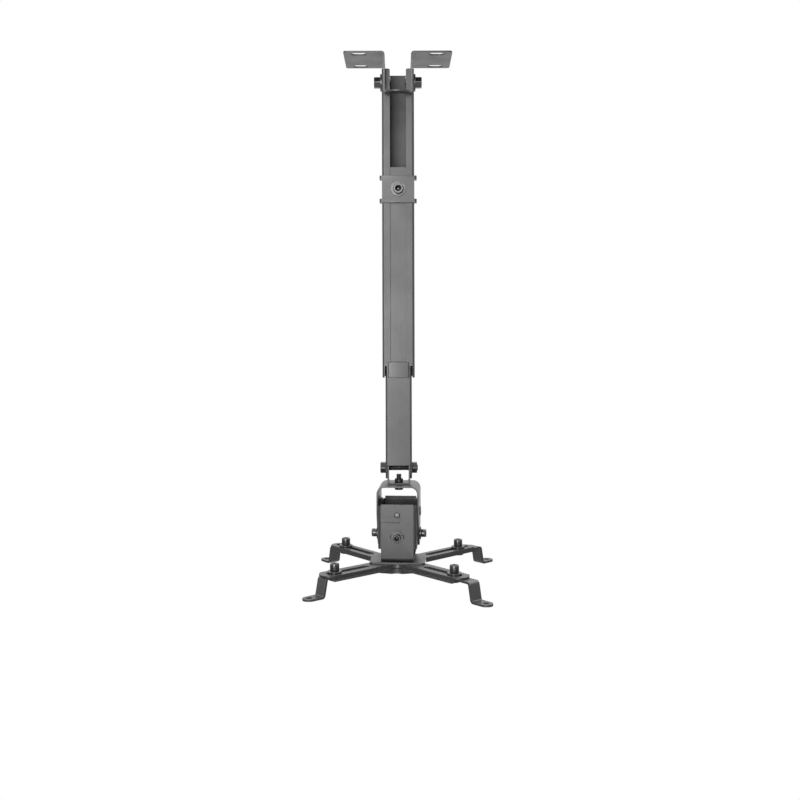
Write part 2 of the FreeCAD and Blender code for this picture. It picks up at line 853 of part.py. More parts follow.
def tilt_yoke():
    body = new_body("tilt_yoke")
    thick, bend, round_end = D["yoke_sheet"], D["yoke_bend"], D["yoke_leg_round"]
    outer, inner = HALF_YOKE, HALF_YOKE - thick
    half_depth = D["yoke_depth"] / 2
    clamp = -(D["tilt_drop"] + D["side_arm"])
    low = clamp - round_end
    sketch = new_sketch(body, "XZ")
    draw_outline(sketch, [
        (-outer, 0), (-outer, low), (-inner, low), (-inner, -thick),
        (inner, -thick), (inner, low), (outer, low), (outer, 0),
    ])
    pad(body, sketch, D["yoke_depth"], symmetric=True)
    fillet(body, bend, "y", both_sides((inner, -thick)))
    fillet(body, bend + thick, "y", both_sides((outer, 0)))
    # Each leg narrows to a round end about the clamp screw
    shoulder = -D["tilt_drop"]
    sketch = new_sketch(body, "YZ")
    for side in (-1, 1):
        draw_outline(sketch, [
            (half_depth * side, shoulder), (round_end * side, clamp),
            (0, low, 0, clamp, -side), (0, low - 1), ((half_depth + 1) * side, low - 1),
            ((half_depth + 1) * side, shoulder),
        ])
    pocket(body, sketch)
    sketch = new_sketch(body, "YZ")
    draw_circle(sketch, 0, shoulder, PIN_RADIUS + D["running_gap"])
    draw_arc_slot(sketch, shoulder, D["side_arm"], D["small_hole"], D["pitch_range"] + 1)
    pocket(body, sketch)
    sketch = new_sketch(body, "XY")
    draw_circle(sketch, 0, 0, SWIVEL_HOLE)
    pocket(body, sketch)
    place_low(body, 0, 0, YOKE_TOP)
    keep("tilt_yoke", body)


def tilt_block():
    """A closed ring of sheet whose four walls carry the pins and the clamp screws."""
    body = new_body("tilt_block")
    wall, corner = D["block_wall"], D["block_corner"]
    top, front_top = D["block_top"], D["block_front_top"]
    inner_x, inner_y = BLOCK_X - wall, BLOCK_Y - wall
    sketch = new_sketch(body, "XY", -D["block_bottom"])
    draw_rectangle(sketch, -BLOCK_X, -BLOCK_Y, BLOCK_X, BLOCK_Y)
    draw_rectangle(sketch, -inner_x, -inner_y, inner_x, inner_y)
    pad(body, sketch, D["block_bottom"] + top)
    fillet(body, corner, "z", both_sides((BLOCK_X, BLOCK_Y), (BLOCK_X, -BLOCK_Y)))
    fillet(body, corner - wall, "z", both_sides((inner_x, inner_y), (inner_x, -inner_y)))
    # Side walls rounded about the pins, front and rear walls a little lower
    sketch = new_sketch(body, "YZ")
    for side in (-1, 1):
        draw_outline(sketch, [
            ((BLOCK_Y + 1) * side, front_top), ((top + 4) * side, front_top),
            (top * side, front_top), (0, top, 0, 0, side),
            (0, top + 1), ((BLOCK_Y + 1) * side, top + 1),
        ][1:] + [((BLOCK_Y + 1) * side, front_top)])
    pocket(body, sketch)
    pin = PIN_RADIUS + D["running_gap"]
    for plane, arm in (("YZ", D["side_arm"]), ("XZ", D["roll_arm"])):
        sketch = new_sketch(body, plane)
        draw_circle(sketch, 0, 0, pin)
        draw_circle(sketch, 0, -arm, D["small_hole"] / 2)
        pocket(body, sketch)
    place_low(body, 0, 0, TILT_Z)
    keep("tilt_block", body)


def guide_pin(label, length, flat_head):
    """A pin riveted into the block, drawn outwards along local Z from the wall's inside."""
    body = new_body(label)
    rivet = D["block_wall"] / 2
    length = as_size(length)
    points = [(0, -rivet), (PIN_RADIUS + 0.6, -rivet), (PIN_RADIUS + 0.6, 0), (PIN_RADIUS, 0)]
    if flat_head:
        head, thick = D["pin_head"] / 2, D["pin_head_thick"]
        points += [(PIN_RADIUS, length), (head, length), (head, length + thick * 0.5),
                   (head - thick * 0.5, length + thick), (0, length + thick)]
    else:
        points += [(PIN_RADIUS, length - 0.4), (PIN_RADIUS - 0.4, length), (0, length)]
    sketch = new_sketch(body, "XZ")
    draw_outline(sketch, points)
    revolve(body, sketch)
    return body


def tilt_fasteners():
    """Pins above and clamp screws below, on the two sides and on the front and rear."""
    wall = D["block_wall"]
    proud = D["side_gap"]
    across = (
        ("side", BLOCK_X, D["yoke_sheet"], D["side_arm"], True),
        ("roll", BLOCK_Y, D["box_sheet"], D["roll_arm"], False),
    )
    for name, block_face, cover, arm, flat_head in across:
        clamp_z = TILT_Z - arm
        cover_face = block_face + proud + cover
        washer_face = cover_face + proud
        pins, screws, washers, nuts = [], [], [], []
        for way, end in ((-1, "near"), (1, "far")):
            x_way, y_way = (way, 0) if name == "side" else (0, way)
            aim = towards(x_way, y_way, 0)
            inside = block_face - wall
            head = washer_face + D["small_washer_thick"]
            pin_reach = cover_face + (proud if flat_head else D["pin_proud"]) - inside
            pin = guide_pin(f"{name}_pin_{end}", pin_reach, flat_head)
            place_low(pin, inside * x_way, inside * y_way, TILT_Z, aim)
            pins.append(pin)
            shank = head - inside + D["small_nut"] + 1
            screw = cap_screw(f"{name}_screw_{end}", D["small_bolt"], shank, D["small_head"],
                              D["small_head_height"], D["small_socket"])
            place_low(screw, head * x_way, head * y_way, clamp_z, aim)
            screws.append(screw)
            ring = washer(f"{name}_washer_{end}", D["small_hole"], D["small_washer"],
                          D["small_washer_thick"])
            place_low(ring, washer_face * x_way, washer_face * y_way, clamp_z, aim)
            washers.append(ring)
            piece = nut(f"{name}_nut_{end}", D["small_bolt"], D["small_across"], D["small_nut"])
            nut_base = inside - D["small_nut"]
            place_low(piece, nut_base * x_way, nut_base * y_way, clamp_z, aim)
            nuts.append(piece)
        keep(name + "_pins", *pins)
        keep(name + "_screws", *screws)
        keep(name + "_washers", *washers)
        keep(name + "_nuts", *nuts)


# Projector box and spiders

def projector_box():
    body = new_body("projector_box")
    thick, half, half_x = D["box_sheet"], D["box_half_depth"], D["box_width"] / 2
    top = D["box_drop"] + D["box_top"]
    inner = half - thick
    sketch = new_sketch(body, "YZ")
    draw_outline(sketch, [
        (-half, 0), (half, 0), (half, top), (inner, top),
        (inner, thick), (-inner, thick), (-inner, top), (-half, top),
    ])
    pad(body, sketch, D["box_width"], symmetric=True)
    fillet(body, D["box_bend"], "x", both_sides((inner, thick)))
    fillet(body, D["box_bend"] + thick, "x", both_sides((half, 0)))
    # Hook slot: in from the left edge, then up to the pin that the box hangs on
    pin_z = D["box_drop"]
    hook, slot_top = PIN_RADIUS + D["running_gap"], pin_z
    entry_top = pin_z - D["hook_drop"] + D["hook_slot"] / 2
    entry_low = entry_top - D["hook_slot"]
    sketch = new_sketch(body, "XZ")
    draw_outline(sketch, [
        (-(half_x + 1), entry_low), (hook, entry_low), (hook, slot_top),
        (-hook, slot_top, 0, slot_top, 1), (-hook, entry_top), (-(half_x + 1), entry_top),
    ])
    draw_arc_slot(sketch, pin_z, D["roll_arm"], D["small_hole"], D["roll_range"] + 1)
    pocket(body, sketch)
    sketch = new_sketch(body, "XY")
    for side in (-1, 1):
        draw_circle(sketch, D["hub_screw_x"] * side, -D["hub_screw_y"], D["small_hole"] / 2)
    pocket(body, sketch)
    place_low(body, 0, 0, BOX_BOTTOM)
    keep("projector_box", body)


class Vee:
    """A bent pair of arms in plan. The inner edges meet at the apex, and the arms run from
    there at an angle to X, to the front (way -1) or to the rear (way 1)."""

    def __init__(self, apex, angle, reach, width, way):
        self.apex, self.reach, self.width, self.way = apex, reach, width, way
        self.cos, self.sin = cosine(angle), sine(angle)
        self.centre = apex + D["corner_radius"] / self.cos * way

    def along(self, side, distance, offset):
        """The point on one arm at a distance from the apex and an offset into the sheet."""
        x = (distance * self.cos + offset * self.sin) * side
        y = self.apex + (distance * self.sin - offset * self.cos) * self.way
        return x, y

    def tangent(self, side, offset):
        radius = D["corner_radius"] + offset
        return radius * self.sin * side, self.centre - radius * self.cos * self.way

    def band(self, sketch, inner, outer, distance, round_ends=False):
        """The strip between two offsets, out to a distance on both arms."""
        turn = -self.way
        first, last = -1, 1
        middle = (as_size(inner) + outer) / 2
        end_out = self.along(last, distance, as_size(outer))
        end_in = self.along(first, distance, as_size(inner))
        if round_ends:
            end_out += self.along(last, distance, middle) + (turn,)
            end_in += self.along(first, distance, middle) + (turn,)
        corner = (as_size(0), self.centre)
        draw_outline(sketch, [
            end_in,
            self.tangent(first, as_size(inner)),
            self.tangent(last, as_size(inner)) + corner + (-turn,),
            self.along(last, distance, as_size(inner)),
            end_out,
            self.tangent(last, as_size(outer)),
            self.tangent(first, as_size(outer)) + corner + (turn,),
            self.along(first, distance, as_size(outer)),
        ])

    def slots(self, sketch, start, end, width):
        """A lengthwise slot in the middle of each arm."""
        middle, half = self.width / 2, width / 2
        turn = -self.way
        for side in (-1, 1):
            draw_outline(sketch, [
                self.along(side, start, middle - half) + self.along(side, start, middle)
                + (turn * side,),
                self.along(side, end, middle - half),
                self.along(side, end, middle + half) + self.along(side, end, middle)
                + (turn * side,),
                self.along(side, start, middle + half),
            ])


FRONT_VEE = Vee(-D["front_apex"], D["front_angle"], D["front_reach"], D["front_width"], -1)
REAR_VEE = Vee(-D["rear_apex"], D["rear_angle"], D["rear_reach"], D["rear_width"], 1)


def spider_arms(body, vee):
    """Top sheet, a flange along both edges and a lip out from the inner flange."""
    sheet_t, flange, width = D["spider_sheet"], D["arm_flange"], vee.width
    flange_end = vee.reach + D["flange_past"]
    sketch = new_sketch(body, "XY")
    vee.band(sketch, 0, width, vee.reach, round_ends=True)
    pad(body, sketch, sheet_t, reverse=True)
    for inner, outer in ((as_size(0), sheet_t), (width - sheet_t, width)):
        sketch = new_sketch(body, "XY")
        vee.band(sketch, inner, outer, flange_end)
        pad(body, sketch, flange, reverse=True)
    sketch = new_sketch(body, "XY", sheet_t * 0.7 - flange)
    vee.band(sketch, -D["arm_lip"], sheet_t / 2, flange_end)
    pad(body, sketch, sheet_t * 0.7, reverse=True)


def cut_openings(body, vee, slot_start):
    """The slots along the arms and the two screw holes in the hub."""
    sketch = new_sketch(body, "XY")
    vee.slots(sketch, slot_start, vee.reach, D["arm_slot"])
    pocket(body, sketch, D["spider_sheet"])
    sketch = new_sketch(body, "XY")
    for side in (-1, 1):
        draw_circle(sketch, D["hub_screw_x"] * side, -D["hub_screw_y"], D["small_hole"] / 2)
    pocket(body, sketch, D["spider_sheet"])


def front_spider():
    body = new_body("front_spider")
    sheet_t, flange = D["spider_sheet"], D["arm_flange"]
    spider_arms(body, FRONT_VEE)
    # The front flange deepens into a gusset at the corner
    half, low, deep = D["gusset_half"], D["gusset_half_low"], D["gusset_height"]
    sketch = new_sketch(body, "XY")
    FRONT_VEE.band(sketch, 0, sheet_t, half / FRONT_VEE.cos)
    pad(body, sketch, deep, reverse=True)
    sketch = new_sketch(body, "XZ")
    for side in (-1, 1):
        draw_outline(sketch, [
            (half * side, -flange), (low * side, -deep), (low * side, -(deep + 1)),
            ((half + 3) * side, -(deep + 1)), ((half + 3) * side, -flange),
        ])
    pocket(body, sketch)
    cut_openings(body, FRONT_VEE, D["front_slot_start"])
    place_low(body, 0, 0, BOX_BOTTOM - sheet_t)
    keep("front_spider", body)


def rear_spider():
    body = new_body("rear_spider")
    sheet_t = D["spider_sheet"]
    spider_arms(body, REAR_VEE)
    half, front, rear = D["hub_half_width"], -D["hub_front"], D["hub_rear"]
    # Nothing hangs below the hub, which lies on the front pair of arms
    sketch = new_sketch(body, "XY", -sheet_t)
    draw_rectangle(sketch, -half, front - 5, half, rear)
    pocket(body, sketch, D["arm_flange"])
    sketch = new_sketch(body, "XY")
    draw_rectangle(sketch, -half, front, half, rear)
    pad(body, sketch, sheet_t, reverse=True)
    fillet(body, D["hub_corner"], "z", both_sides((half, front)))
    cut_openings(body, REAR_VEE, D["rear_slot_start"])
    place_low(body, 0, 0, BOX_BOTTOM)
    keep("rear_spider", body)


def hub_fasteners():
    screws, nuts = [], []
    head_z = BOX_BOTTOM + D["box_sheet"]
    nut_z = BOX_BOTTOM - D["spider_sheet"] * 2 - D["small_nut"]
    for side, end in ((-1, "left"), (1, "right")):
        x, y = D["hub_screw_x"] * side, -D["hub_screw_y"]
        screw = cap_screw("hub_screw_" + end, D["small_bolt"], head_z - nut_z + 0.5,
                          D["small_head"], D["small_head_height"] * 0.56, D["small_socket"])
        place_low(screw, x, y, head_z)
        screws.append(screw)
        piece = nut("hub_nut_" + end, D["small_bolt"], D["small_across"], D["small_nut"])
        place_low(piece, x, y, nut_z)
        nuts.append(piece)
    keep("hub_screws", *screws)
    keep("hub_nuts", *nuts)


# Feet and their clamp bolts

def foot(label, leg):
    """A slotted strap bent twice, drawn outwards along X with its bolt at the origin and
    its top face at zero. The leg starts at the given distance from the bolt and leans out."""
    body = new_body(label)
    thick, half, drop = D["foot_sheet"], D["foot_width"] / 2, D["foot_drop"]
    tail = leg - D["foot_strap"]
    ankle = leg + D["foot_lean"]
    tip = ankle + D["foot_pad"] + half
    sketch = new_sketch(body, "XZ")
    draw_outline(sketch, [
        (tail, 0), (tail, -thick), (leg - thick, -thick), (ankle - thick, -drop),
        (tip, -drop), (tip, thick - drop), (ankle, thick - drop), (leg, 0),
    ])
    pad(body, sketch, D["foot_width"], symmetric=True)
    bend = D["foot_bend"]
    fillet(body, bend, "y", [(leg - thick, -thick), (ankle, thick - drop)])
    fillet(body, bend + thick, "y", [(leg, 0), (ankle - thick, -drop)])
    # Round tip with its screw hole
    centre = tip - half
    sketch = new_sketch(body, "XY", -drop)
    for side in (-1, 1):
        draw_outline(sketch, [
            (centre, half * side), (tip, 0, centre, 0, -side), (tip + 1, 0),
            (tip + 1, (half + 1) * side), (centre, (half + 1) * side),
        ])
    pocket(body, sketch, thick, reverse=True)
    sketch = new_sketch(body, "XY", -drop)
    draw_circle(sketch, centre, 0, D["foot_hole"] / 2)
    pocket(body, sketch, thick, reverse=True)
    near, far = D["foot_slot_near"], D["foot_slot_far"]
    sketch = new_sketch(body, "XY")
    draw_slot(sketch, leg - (near + far) / 2, 0, far - near + D["large_hole"], D["large_hole"])
    pocket(body, sketch, thick)
    fillet(body, thick, "z", [(tail, half), (tail, -half)])
    return body


def feet():
    for vee, top, bolt_x, row, angle in (
        (FRONT_VEE, BOX_BOTTOM - D["spider_sheet"], D["front_bolt_x"], "front",
         D["front_angle"]),
        (REAR_VEE, BOX_BOTTOM, D["rear_bolt_x"], "rear", D["rear_angle"]),
    ):
        middle = vee.width / 2
        distance = (bolt_x - middle * vee.sin) / vee.cos
        under = top - D["spider_sheet"]
        for side, end in ((-1, "left"), (1, "right")):
            name = f"{row}_{end}"
            x, y = vee.along(side, distance, middle)
            heading = angle.value * vee.way if side > 0 else 180 - angle.value * vee.way
            aim = FreeCAD.Rotation(FreeCAD.Vector(0, 0, 1), heading)
            piece = foot("foot_" + name, D[name + "_arm"])
            place_low(piece, x, y, under - D["side_gap"], aim)
            keep("foot_" + name, piece)
            strap_low = under - D["side_gap"] - D["foot_sheet"]
            washer_top = top + D["side_gap"] + D["large_washer_thick"]
            shank = washer_top - strap_low + D["foot_nut"] + D["foot_bolt_end"]
            bolt = cap_screw("foot_bolt_" + name, D["large_bolt"], shank, D["foot_head"],
                             D["foot_head_height"], D["foot_socket"])
            place_low(bolt, x, y, washer_top)
            keep("foot_bolt_" + name, bolt)
            ring = washer("foot_washer_" + name, D["large_hole"], D["foot_washer"],
                          D["large_washer_thick"])
            place_low(ring, x, y, top + D["side_gap"])
            keep("foot_washer_" + name, ring)
            piece = nut("foot_nut_" + name, D["large_bolt"], D["large_across"], D["foot_nut"])
            place_low(piece, x, y, strap_low - D["foot_nut"], aim)
            keep("foot_nut_" + name, piece)


ceiling_hanger()
outer_channel()
end_stop()
top_fasteners()
inner_tube()
clamp_plate()
clamp_fasteners()
pivot_fork()
pivot_fasteners()
swivel_fasteners()
tilt_yoke()
tilt_block()
tilt_fasteners()
projector_box()
front_spider()
rear_spider()
hub_fasteners()
feet()
doc.recompute()

faults = [item.Label for item in doc.Objects if "Invalid" in item.State or "Error" in item.State]
if faults:
    raise RuntimeError("failed: " + ", ".join(faults))
for name, item in NODES.items():
    if item.Shape.isNull() or not item.Shape.isValid():
        raise RuntimeError(name + " has no valid shape")
for name, item in NODES.items():
    item.Shape.exportStep(os.path.join("parts", name + ".step"))
print(len(NODES), "nodes,", sum(len(item.Shape.Solids) for item in NODES.values()), "solids")
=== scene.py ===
import json
import math

import bmesh
import bpy
from mathutils import Matrix, Vector


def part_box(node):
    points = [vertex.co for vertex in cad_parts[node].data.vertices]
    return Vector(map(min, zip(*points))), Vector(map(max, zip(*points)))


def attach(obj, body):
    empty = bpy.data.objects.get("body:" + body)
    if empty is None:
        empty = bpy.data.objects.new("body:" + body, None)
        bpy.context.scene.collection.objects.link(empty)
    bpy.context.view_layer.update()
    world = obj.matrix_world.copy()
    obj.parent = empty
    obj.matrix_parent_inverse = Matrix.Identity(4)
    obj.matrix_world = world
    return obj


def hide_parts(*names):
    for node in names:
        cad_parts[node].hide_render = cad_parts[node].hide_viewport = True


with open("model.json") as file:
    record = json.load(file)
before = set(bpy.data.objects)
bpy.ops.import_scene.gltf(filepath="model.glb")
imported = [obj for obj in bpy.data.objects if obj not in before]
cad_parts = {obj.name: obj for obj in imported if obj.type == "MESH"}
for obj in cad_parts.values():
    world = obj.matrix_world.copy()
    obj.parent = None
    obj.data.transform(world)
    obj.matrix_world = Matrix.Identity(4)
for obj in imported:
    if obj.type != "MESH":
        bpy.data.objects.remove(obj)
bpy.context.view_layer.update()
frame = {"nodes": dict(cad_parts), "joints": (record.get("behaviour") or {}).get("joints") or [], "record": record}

MM = 0.001
WHITE = (1.0, 1.0, 1.0, 1.0)
FLOOR_LEVEL = -1.0
WELD = 1e-6                     # corners closer than this, in metres, are one
FLAT = math.radians(0.6)        # faces that meet below this angle become one
SHARP = math.radians(28)        # shading breaks above this angle
BEVELLED = math.radians(35)     # edges above this angle are rounded
EDGE_ROUND = 0.35               # millimetres
EDGE_STEPS = 3
NODE_BODY = {node: body for body, nodes in frame["record"]["behaviour"]["bodies"].items()
             for node in nodes}
JOINT_AXIS = {joint["name"]: Vector(joint["axis"]) for joint in frame["joints"]}


# Shader node helpers

def add_node(tree, kind, location, **settings):
    node = tree.nodes.new(kind)
    node.location = location
    for name, value in settings.items():
        setattr(node, name, value)
    return node


def mixed_colour(tree, factor, low, high, location):
    mix = add_node(tree, "ShaderNodeMix", location, data_type="RGBA")
    mix.inputs["A"].default_value = (*low, 1.0)
    mix.inputs["B"].default_value = (*high, 1.0)
    tree.links.new(factor, mix.inputs["Factor"])
    return mix.outputs["Result"]


def mapped(tree, value, low, high, location, start=0.0, end=1.0):
    scale = add_node(tree, "ShaderNodeMapRange", location)
    scale.inputs["From Min"].default_value = start
    scale.inputs["From Max"].default_value = end
    scale.inputs["To Min"].default_value = low
    scale.inputs["To Max"].default_value = high
    tree.links.new(value, scale.inputs["Value"])
    return scale.outputs["Result"]


def coat_grain_group():
    """The skin of a baked coat: fine orange peel as a height, slow clouds of tone, and the
    few dust specks that were caught in it."""
    group = bpy.data.node_groups.new("powder_coat_grain", "ShaderNodeTree")
    for name, default in (("Peel Size", 900.0), ("Cloud Size", 40.0), ("Speck Size", 260.0)):
        socket = group.interface.new_socket(name, in_out="INPUT", socket_type="NodeSocketFloat")
        socket.default_value = default
    for name in ("Height", "Tone", "Speck"):
        group.interface.new_socket(name, in_out="OUTPUT", socket_type="NodeSocketFloat")
    inputs = add_node(group, "NodeGroupInput", (-800, 0))
    outputs = add_node(group, "NodeGroupOutput", (400, 0))
    place = add_node(group, "ShaderNodeTexCoord", (-800, -200))
    peel = add_node(group, "ShaderNodeTexNoise", (-500, 150))
    peel.inputs["Detail"].default_value = 3.0
    cloud = add_node(group, "ShaderNodeTexNoise", (-500, -100))
    cloud.inputs["Detail"].default_value = 2.0
    speck = add_node(group, "ShaderNodeTexVoronoi", (-500, -350))
    link = group.links.new
    for texture, size in ((peel, "Peel Size"), (cloud, "Cloud Size"), (speck, "Speck Size")):
        link(place.outputs["Object"], texture.inputs["Vector"])
        link(inputs.outputs[size], texture.inputs["Scale"])
    link(peel.outputs["Fac"], outputs.inputs["Height"])
    link(cloud.outputs["Fac"], outputs.inputs["Tone"])
    specks = mapped(group, speck.outputs["Distance"], 1.0, 0.0, (-200, -350),
                    start=0.05, end=0.14)
    link(specks, outputs.inputs["Speck"])
    return group


GRAIN = coat_grain_group()
SPECK_ROUGHNESS = 0.12
RELIEF_STRENGTH = 0.3


def black_finish(name, dark, light, gloss, peel_size, peel_depth, specular=0.5):
    """A black finish whose tone, gloss and fine relief vary over the surface.
    gloss gives the roughness where the coat lies smoothest and where it is dullest, and
    peel_depth is in millimetres."""
    material = bpy.data.materials.new(name)
    material.use_nodes = True
    tree = material.node_tree
    shader = tree.nodes["Principled BSDF"]
    shader.inputs["Specular IOR Level"].default_value = specular
    grain = add_node(tree, "ShaderNodeGroup", (-1000, 0), node_tree=GRAIN)
    grain.inputs["Peel Size"].default_value = peel_size
    colour = mixed_colour(tree, grain.outputs["Tone"], dark, light, (-700, 150))
    tree.links.new(colour, shader.inputs["Base Color"])
    clouded = mapped(tree, grain.outputs["Tone"], *gloss, (-700, -100), start=0.3, end=0.7)
    specked = add_node(tree, "ShaderNodeMath", (-400, -100), operation="MULTIPLY_ADD")
    specked.inputs[1].default_value = SPECK_ROUGHNESS
    tree.links.new(grain.outputs["Speck"], specked.inputs[0])
    tree.links.new(clouded, specked.inputs[2])
    tree.links.new(specked.outputs["Value"], shader.inputs["Roughness"])
    bump = add_node(tree, "ShaderNodeBump", (-400, -350))
    bump.inputs["Strength"].default_value = RELIEF_STRENGTH
    bump.inputs["Distance"].default_value = peel_depth * MM
    tree.links.new(grain.outputs["Height"], bump.inputs["Height"])
    tree.links.new(bump.outputs["Normal"], shader.inputs["Normal"])
    return material


SATIN_COAT = black_finish("satin_black_powder_coat", (0.028, 0.028, 0.029),
                          (0.040, 0.040, 0.042), (0.31, 0.41), 900.0, 0.05)
# coat for the channel's inner faces: its darker colour is painted shade of the deep recess, its higher roughness a
# duller gloss
RECESS_SHADE_COAT = black_finish("painted_recess_shade_coat", (0.024, 0.024, 0.025),
                         (0.034, 0.034, 0.036), (0.45, 0.55), 700.0, 0.06)
BLACKENED_STEEL = black_finish("blackened_screw_steel", (0.016, 0.016, 0.017),
                               (0.026, 0.026, 0.027), (0.20, 0.30), 1600.0, 0.015,
                               specular=0.7)


# Mesh helpers

def keep_piece(mesh, name, node, material):
    """Stands the mesh in for a CAD node, on the node's own body."""
    piece = bpy.data.objects.new(name, mesh)
    bpy.context.scene.collection.objects.link(piece)
    mesh.materials.clear()
    mesh.materials.append(material)
    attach(piece, NODE_BODY[node])
    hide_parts(node)
    return piece


def softened_sheet(node, name, material=SATIN_COAT):
    """A sheet part with the small rounding that stamping and paint leave on its edges."""
    mesh = frame["nodes"][node].data.copy()
    mesh.name = name
    work = bmesh.new()
    work.from_mesh(mesh)
    bmesh.ops.remove_doubles(work, verts=work.verts, dist=WELD)
    bmesh.ops.dissolve_limit(work, angle_limit=FLAT, verts=work.verts, edges=work.edges)
    for face in work.faces:
        face.smooth = True
    work.to_mesh(mesh)
    work.free()
    piece = keep_piece(mesh, name, node, material)
    mesh.set_sharp_from_angle(angle=SHARP)
    bevel = piece.modifiers.new("edge", "BEVEL")
    bevel.width = EDGE_ROUND * MM
    bevel.segments = EDGE_STEPS
    bevel.limit_method = "ANGLE"
    bevel.angle_limit = BEVELLED
    bevel.use_clamp_overlap = True
    bevel.harden_normals = True
    applied = bpy.data.meshes.new_from_object(
        piece.evaluated_get(bpy.context.evaluated_depsgraph_get()))
    piece.modifiers.clear()
    piece.data = applied
    return piece


def paint_recess_shade_in_channel(channel, wall):
    """Paints shade into the deep channel: its inner faces get a darker colour, which is painted shade of the
    recess, and a duller gloss.
    A little less than the wall is taken off, so that the inner faces themselves count."""
    share = 0.95
    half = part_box("outer_channel")[1][0] - share * wall * MM
    coats = channel.data.materials
    coats.append(RECESS_SHADE_COAT)
    for face in channel.data.polygons:
        x, y = face.center.xy
        outward = Vector((x, y, 0)).dot(face.normal)
        if abs(x) < half and abs(y) < half and outward < 0:
            face.material_index = len(coats) - 1


class Seat:
    """Where the solid of a fastener lies: its axis, the heights it spans along the axis, the
    height of the underside of its head, and its outer and inner radius in millimetres."""

    RIM = 0.95      # points beyond this share of the outer radius belong to the head

    def __init__(self, points, axis):
        self.axis = axis.normalized()
        side = self.axis.orthogonal().normalized()
        other = self.axis.cross(side)
        middle = [self.middle_of(points, direction) for direction in (side, other)]
        self.foot = side * middle[0] + other * middle[1]
        heights = [point.dot(self.axis) for point in points]
        radii = [math.hypot(point.dot(side) - middle[0], point.dot(other) - middle[1])
                 for point in points]
        self.low, self.high = min(heights), max(heights)
        self.outside = max(radii) / MM
        self.inside = min(radii) / MM
        rim = [height for height, radius in zip(heights, radii)
               if radius / MM > self.RIM * self.outside]
        self.shoulder = min(rim)

    @staticmethod
    def middle_of(points, direction):
        places = [point.dot(direction) for point in points]
        return (min(places) + max(places)) / 2

    def matrix(self, height, spin=0.0):
        """Local Z along the axis, with local zero at a height along it."""
        turn = self.axis.to_track_quat("Z", "Y").to_matrix().to_4x4()
        return (Matrix.Translation(self.foot + self.axis * height) @ turn
                @ Matrix.Rotation(math.radians(spin), 4, "Z"))


def solids_of(node):
    """The vertices of each separate solid of a CAD node, in the order of the mesh, so that
    every run gives the same mesh."""
    work = bmesh.new()
    work.from_mesh(frame["nodes"][node].data)
    bmesh.ops.remove_doubles(work, verts=work.verts, dist=WELD)
    seen = set()
    solids = []
    for first in work.verts:
        if first in seen:
            continue
        seen.add(first)
        wave = [first]
        solid = []
        while wave:
            vertex = wave.pop()
            solid.append(vertex.co.copy())
            for edge in vertex.link_edges:
                other = edge.other_vert(vertex)
                if other not in seen:
                    seen.add(other)
                    wave.append(other)
        solids.append(solid)
    work.free()
    return solids


class Lathe:
    """Rings of points about a local Z axis, joined into one closed skin."""

    def __init__(self, steps):
        self.steps = steps
        self.angles = [2 * math.pi * step / steps for step in range(steps)]
        self.rings = []

    def ring(self, radius, height):
        """radius and height are numbers in millimetres or functions of the angle."""
        points = []
        for angle in self.angles:
            r = radius(angle) if callable(radius) else radius
            z = height(angle) if callable(height) else height
            points.append((r * math.cos(angle) * MM, r * math.sin(angle) * MM, z * MM))
        self.rings.append(points)

    def profile(self, *rings):
        for radius, height in rings:
            self.ring(radius, height)

    def add_to(self, work, matrix, closed=False):
        """Adds the skin to a mesh. A closed skin joins its last ring to its first."""
        rings = [[work.verts.new(matrix @ Vector(point)) for point in ring]
                 for ring in self.rings]
        pairs = list(zip(rings, rings[1:]))
        if closed:
            pairs.append((rings[-1], rings[0]))
        else:
            work.faces.new(list(reversed(rings[0])))
            work.faces.new(rings[-1])
        for lower, upper in pairs:
            for step in range(self.steps):
                after = (step + 1) % self.steps
                work.faces.new((lower[step], lower[after], upper[after], upper[step]))


# Lathed fasteners, in millimetres unless a comment says otherwise

STEPS = 72              # of a turn, six or more to each side of a hexagon
WASHER_STEPS = 64
PIN_STEPS = 48
CENTRE = 0.2            # radius of the small flat that closes an end
HEX_CORNER = 0.965      # share of the full radius that is left at a trimmed corner
HEX_FACE = 0.97         # share of the width that the round end face spans
CHAMFER = math.tan(math.radians(30))
THREAD_ROWS = 5         # rings in one turn of thread
THREAD_DEPTH = 0.54     # share of the pitch
LEAD_IN = 0.15
KNURL = 0.05
SOCKET_FLOOR = 0.45     # share of the head's height
SOCKET_MOUTH = 1.2      # share of the socket's half width
DRILL_FLAT = 0.7
DRILL_SLOPE = math.tan(math.radians(40))
HAIR = 0.02
COLLAR = 1.0


def hexagon(across, corner=1.0):
    """Distance from the centre to a hexagon's side, by angle. A corner below one trims the
    six corners by a narrow facet."""
    def radius(angle):
        side = across / 2 / math.cos((angle + math.pi / 6) % (math.pi / 3) - math.pi / 6)
        return min(side, across / math.sqrt(3) * corner)
    return radius


def chamfered(across, height):
    """Height of a hexagon's rim where a shallow cone trims its corners."""
    side = hexagon(across, HEX_CORNER)
    return lambda angle: height - (side(angle) - across / 2 * HEX_FACE) * CHAMFER


def add_thread(lathe, radius, pitch, bottom, top):
    """A helical V thread from bottom to top, with a plain lead-in at the bottom."""
    depth = THREAD_DEPTH * pitch
    lathe.ring(radius - depth, bottom)
    count = int((top - bottom) / pitch * THREAD_ROWS)
    for row in range(count + 1):
        height = bottom + LEAD_IN + (top - bottom - 2 * LEAD_IN) * row / count
        fade = min(1.0, row / THREAD_ROWS, (count - row) / THREAD_ROWS)
        tip = 0.35 * depth if row == 0 else 0

        def groove(angle, height=height, fade=fade, tip=tip):
            phase = (height / pitch - angle / (2 * math.pi)) % 1.0
            crest = abs(2 * phase - 1)
            return radius - depth * (1 - crest) * fade - tip

        lathe.ring(groove, height)


